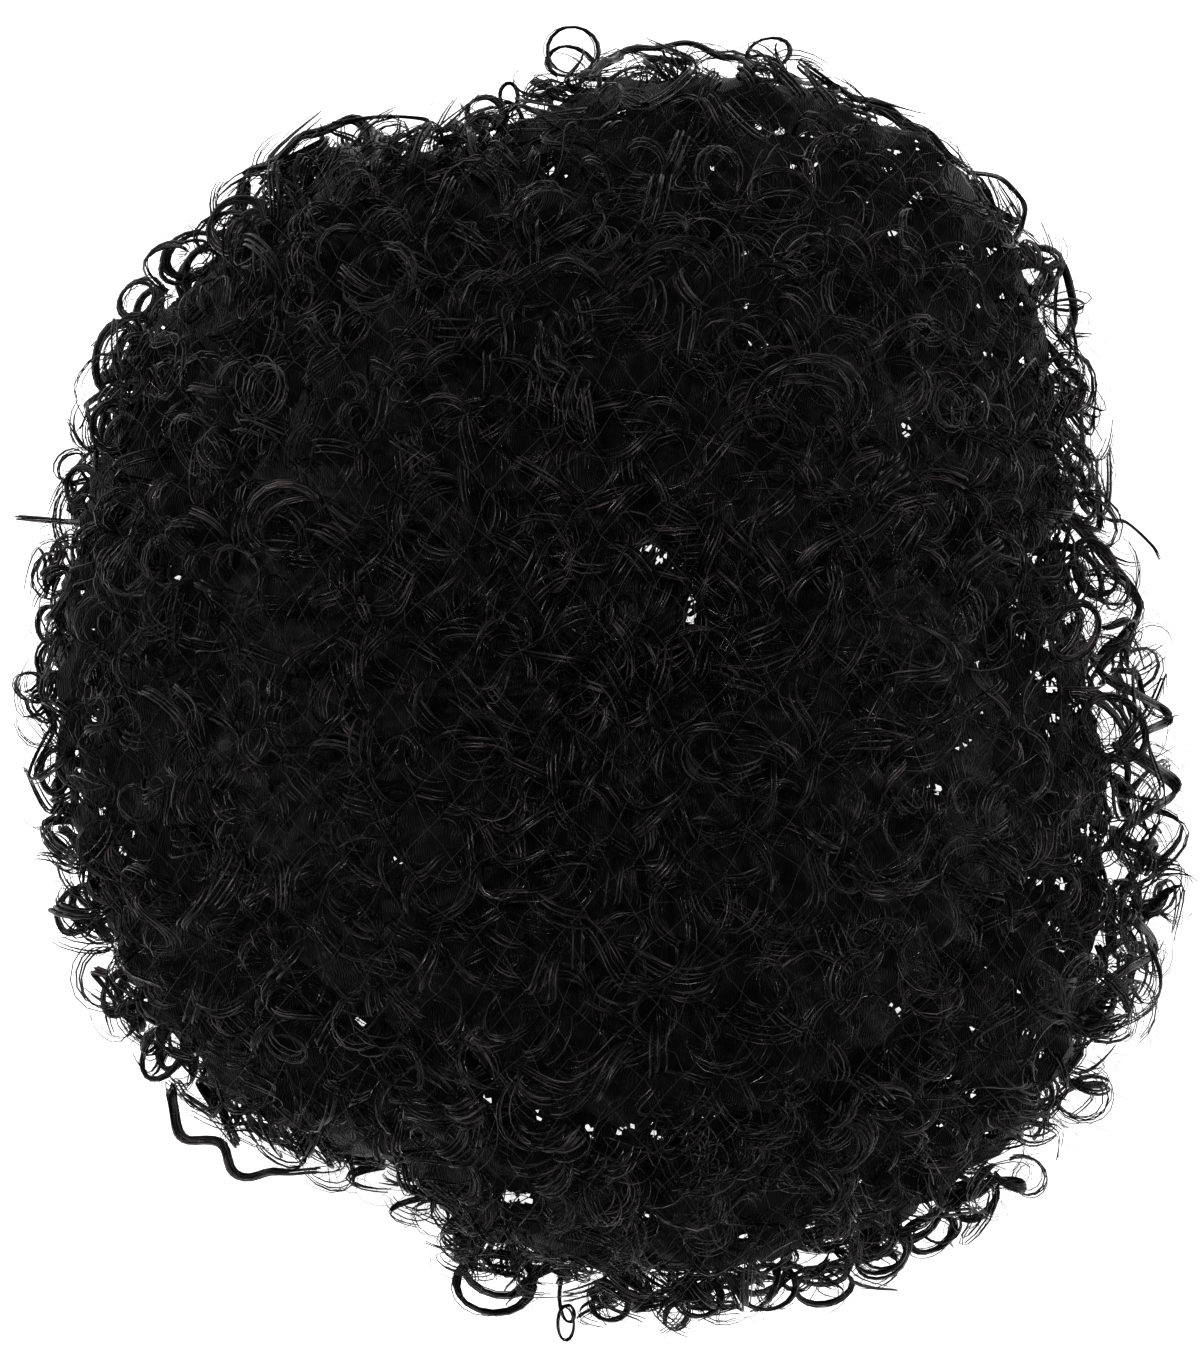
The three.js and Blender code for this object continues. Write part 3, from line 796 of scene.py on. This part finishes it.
def loose_lock(path, thickness):
    """Ribbons and hairs that run side by side along one path, spread as wide as the lock is thick."""
    taper = 1 - LOOSE_TAPER * smooth((np.linspace(0, 1, len(path)) - TIP_START) / TIP_LENGTH)
    facing = unit(path - CAP_MIDDLE) + (0, 0, FACING_UP)
    wide = min(thickness / 2, LOOSE_FINENESS / thickness, 1)
    ribbons = FULL_RIBBONS if thickness > FULL_THICKNESS else LOOSE_RIBBONS
    for strands, half_width, half_depth, fibres in (
        (ribbons, RIBBON_HALF_WIDTH * wide, RIBBON_HALF_DEPTH, math.ceil(RIBBON_FIBRES * wide)),
        (LOOSE_HAIRS, HAIR_RADIUS, HAIR_RADIUS, 1),
    ):
        offset, cross = (rng.normal(0, thickness / LOOSE_SPREAD, (strands, 1, 3)) for _ in range(2))
        cross = cross * np.linspace(-1, 1, len(path))[:, None]
        yield fibre_tubes(
            path + offset + cross, np.broadcast_to(facing, (strands,) + path.shape), taper * half_width,
            taper * half_depth, fibres, kept_over_gaps=LOOSE_KEPT,
        )


loose_bundles = []
for x, y, half_length, half_width, turned, thickness in LOOPS:
    middle = on_surface(np.array([(x, y)]), LIFT)[0]
    inward = unit((CAP_MIDDLE - middle) * (1, 1, 0))
    tilt = math.radians(turned)
    turns = np.linspace(*LOOP_TURNS, LOOP_STEPS)
    angle = math.atan2(inward[1], inward[0]) - tilt + turns * math.tau * rng.choice((-1, 1))
    along = np.array((math.cos(tilt), math.sin(tilt), 0)) * half_length
    slant = rng.uniform(-LOOP_SLANT, LOOP_SLANT)
    aslant = np.array((-math.sin(tilt), math.cos(tilt), slant)) * half_width
    path = middle + np.cos(angle)[:, None] * along + np.sin(angle)[:, None] * aslant
    path = path + np.clip(-turns, 0, 2)[:, None] * (inward * LOOP_ADVANCE - (0, 0, LOOP_RISE))
    path = path + turns[:, None] * (0, 0, LOOP_RISE)
    loose_bundles.extend(loose_lock(path, thickness))
for thickness, wave_height, *points in LONG_LOCKS:
    levelled = 0 if wave_height else SPRUNG_LEVELLED
    path = on_surface(through(points, LONG_STEPS), LIFT + 2 * wave_height, levelled)
    outward = unit(path - CAP_MIDDLE)
    run = np.cumsum(np.linalg.norm(np.gradient(path, axis=0), axis=1)) * math.tau / LONG_WAVE
    wave = outward * np.sin(run)[:, None] + np.cross(outward, unit(path[-1] - path[0])) * np.cos(run)[:, None]
    loose_bundles.extend(loose_lock(path + wave * wave_height, thickness))
add_piece("loose_curls", hair_mesh("loose_curls", loose_bundles), curl_hair, "hair")


# Hairnet
# A fine net of knotted thread is drawn over the whole wig to keep the curls in shape. Its diamonds are
# about 8 mm across and pulled out of true by the curls, and it bridges the hollows between the locks.
NET_CELL = 8.0
NET_RADIUS = 0.045
NET_STEP = 5.0
NET_OFF = 1.5
NET_LINES = 22
NET_HALF = 190
NET_SLANT = 52
NET_EDGE = 1.06
NET_DROP = 26.0
NET_JITTER = 0.4
NET_PULLS = (  # how far knots are pulled in mm, then how the pull in x, and that in y, turns with x and y
    (1.6, (0.05, 0.13), (0.11, -0.06)),
    (0.8, (-0.2, 0.31), (0.29, 0.23)),
)

net_bundles = []
for slant in (NET_SLANT, -NET_SLANT):
    run = np.array((math.cos(math.radians(slant)), math.sin(math.radians(slant))))
    aside = np.array((-run[1], run[0])) * NET_CELL
    for line in range(-NET_LINES, NET_LINES):
        along = np.arange(-NET_HALF, NET_HALF + 1, NET_STEP)[:, None] * run
        spots = CAP_MIDDLE[:2] + aside * (line + 0.5) + along
        x, y = spots.T
        for pull, *turns in NET_PULLS:
            spots = spots + pull * np.column_stack([np.sin(by_x * x + by_y * y) for by_x, by_y in turns])
        offset = spots - CAP_MIDDLE[:2]
        share = np.hypot(offset[:, 0], offset[:, 1]) / reach(np.arctan2(offset[:, 1], offset[:, 0]))
        spots, share = spots[share < NET_EDGE], share[share < NET_EDGE]
        if len(spots) > 2:
            drop = np.clip((share - 1) / (NET_EDGE - 1), 0, 1) * NET_DROP
            thread_path = np.column_stack([spots, surface_height(spots) + NET_OFF - drop])
            thread_path = thread_path + rng.normal(0, NET_JITTER, thread_path.shape)
            facing = unit(thread_path - CAP_MIDDLE)
            thread = np.full(len(spots), NET_RADIUS)
            net_bundles.append(fibre_tubes(thread_path[None], facing[None], thread, thread, 1, 1.0))
add_piece("hairnet", hair_mesh("hairnet", net_bundles), net_thread, "cap_net")


# Table, light and camera
# The wig lies on a plain white lit table, with its rim down and its nape towards the viewer. Two soft
# lamps light it, and it is seen from straight above through a long lens.
TABLE_SIZE = 12.0
CAMERA_LENS = 85.0
SENSOR_HEIGHT = 24.0
CAMERA_ASIDE = -1.5
WORLD_LIGHT = 0.12
LAMPS = (  # place in m, size in m, power in W
    ((-0.45, 0.4, 1.5), 0.3, 21),
    ((0.7, -0.4, 1.5), 0.3, 15),
)

# White acrylic sheet, lit through from underneath, so that it stays white with no shadow.
table_white, place = new_material("white_lit_table")
finish_material(table_white, add_node(
    table_white, "ShaderNodeBsdfPrincipled", Base_Color=linear("#f4f4f4"), Roughness=0.9,
    Emission_Color=linear("#ffffff"), Emission_Strength=0.95,
))
top = bmesh.new()
bmesh.ops.create_grid(top, x_segments=1, y_segments=1, size=TABLE_SIZE / 2)
table_mesh = bpy.data.meshes.new("table")
top.to_mesh(table_mesh)
top.free()
table_mesh.materials.append(table_white)
table = bpy.data.objects.new("table", table_mesh)
bpy.context.collection.objects.link(table)

for number, (place, size, power) in enumerate(LAMPS):
    lamp = bpy.data.lights.new(f"soft_lamp_{number}", "AREA")
    lamp.size = size
    lamp.energy = power
    stand = bpy.data.objects.new(lamp.name, lamp)
    bpy.context.collection.objects.link(stand)
    stand.location = place
    stand.rotation_euler = (-Vector(place)).to_track_quat("-Z", "Y").to_euler()

world = bpy.data.worlds.new("room")
world.use_nodes = True
world.node_tree.nodes["Background"].inputs["Color"].default_value = (1, 1, 1, 1)
world.node_tree.nodes["Background"].inputs["Strength"].default_value = WORLD_LIGHT
scene = bpy.context.scene
scene.world = world
scene.view_settings.view_transform = "Standard"

camera = bpy.data.objects.new("camera", bpy.data.cameras.new("camera"))
bpy.context.collection.objects.link(camera)
camera.data.sensor_fit = "VERTICAL"
camera.data.sensor_height = SENSOR_HEIGHT
camera.data.lens = CAMERA_LENS
camera.location = (CAMERA_ASIDE * MM, 0, EYE_HEIGHT * MM)
scene.camera = camera
